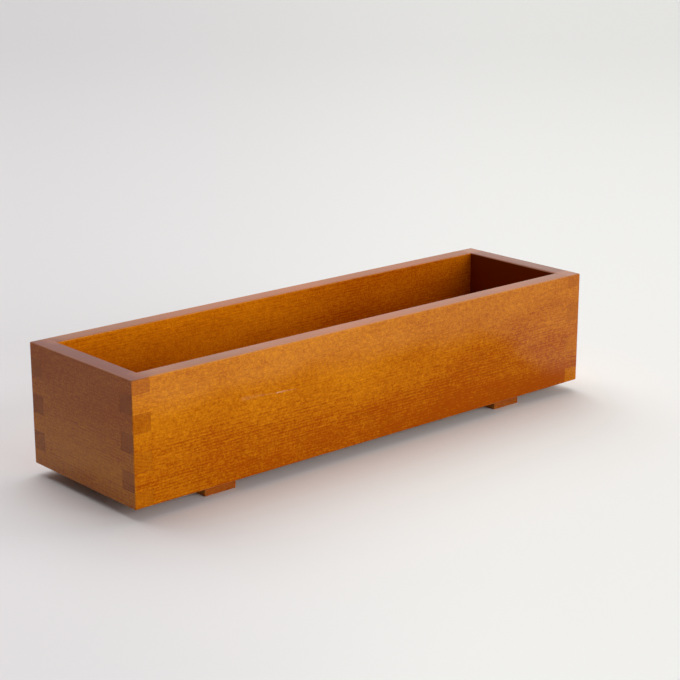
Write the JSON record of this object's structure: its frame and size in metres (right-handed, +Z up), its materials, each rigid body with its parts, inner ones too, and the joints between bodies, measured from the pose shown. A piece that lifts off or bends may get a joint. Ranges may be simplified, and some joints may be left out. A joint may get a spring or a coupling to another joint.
{
  "type": "wooden press mold",
  "caption": "Long wooden press mold for block sushi: finger-jointed frame on a loose base board with battens, and a press board with two cross grips inside.",
  "frame": {"origin": "under the middle of the base, on the surface that the battens stand on", "axes": "+X along the mold to its right end, +Y from the front to the back, +Z up; the frame and the press lift off along +Z"},
  "size_m": [0.26, 0.073, 0.058],
  "materials": {
    "frame_wood": "orange-brown stain under satin lacquer",
    "board_wood": "orange-brown stain under satin lacquer",
    "grip_wood": "orange-brown stain under satin lacquer",
    "peg_wood": "end grain of bamboo, sanded flush and oiled",
    "screw_brass": "turned brass"
  },
  "bodies": {
    "base": {"base_board": "board_wood", "left_base_batten": "board_wood", "right_base_batten": "board_wood", "base_screws": "screw_brass"},
    "frame": {"front_wall": "frame_wood", "back_wall": "frame_wood", "left_end_wall": "frame_wood", "right_end_wall": "frame_wood"},
    "press": {"press_board": "board_wood", "left_press_grip": "grip_wood", "right_press_grip": "grip_wood", "grip_pegs": "peg_wood"}
  },
  "joints": [
    {"name": "frame_lift", "type": "slide", "parent": "base", "child": "frame", "axis": [0, 0, 1], "range_m": [0, 0.065]},
    {"name": "press_lift", "type": "slide", "parent": "base", "child": "press", "axis": [0, 0, 1], "range_m": [0, 0.065]}
  ]
}
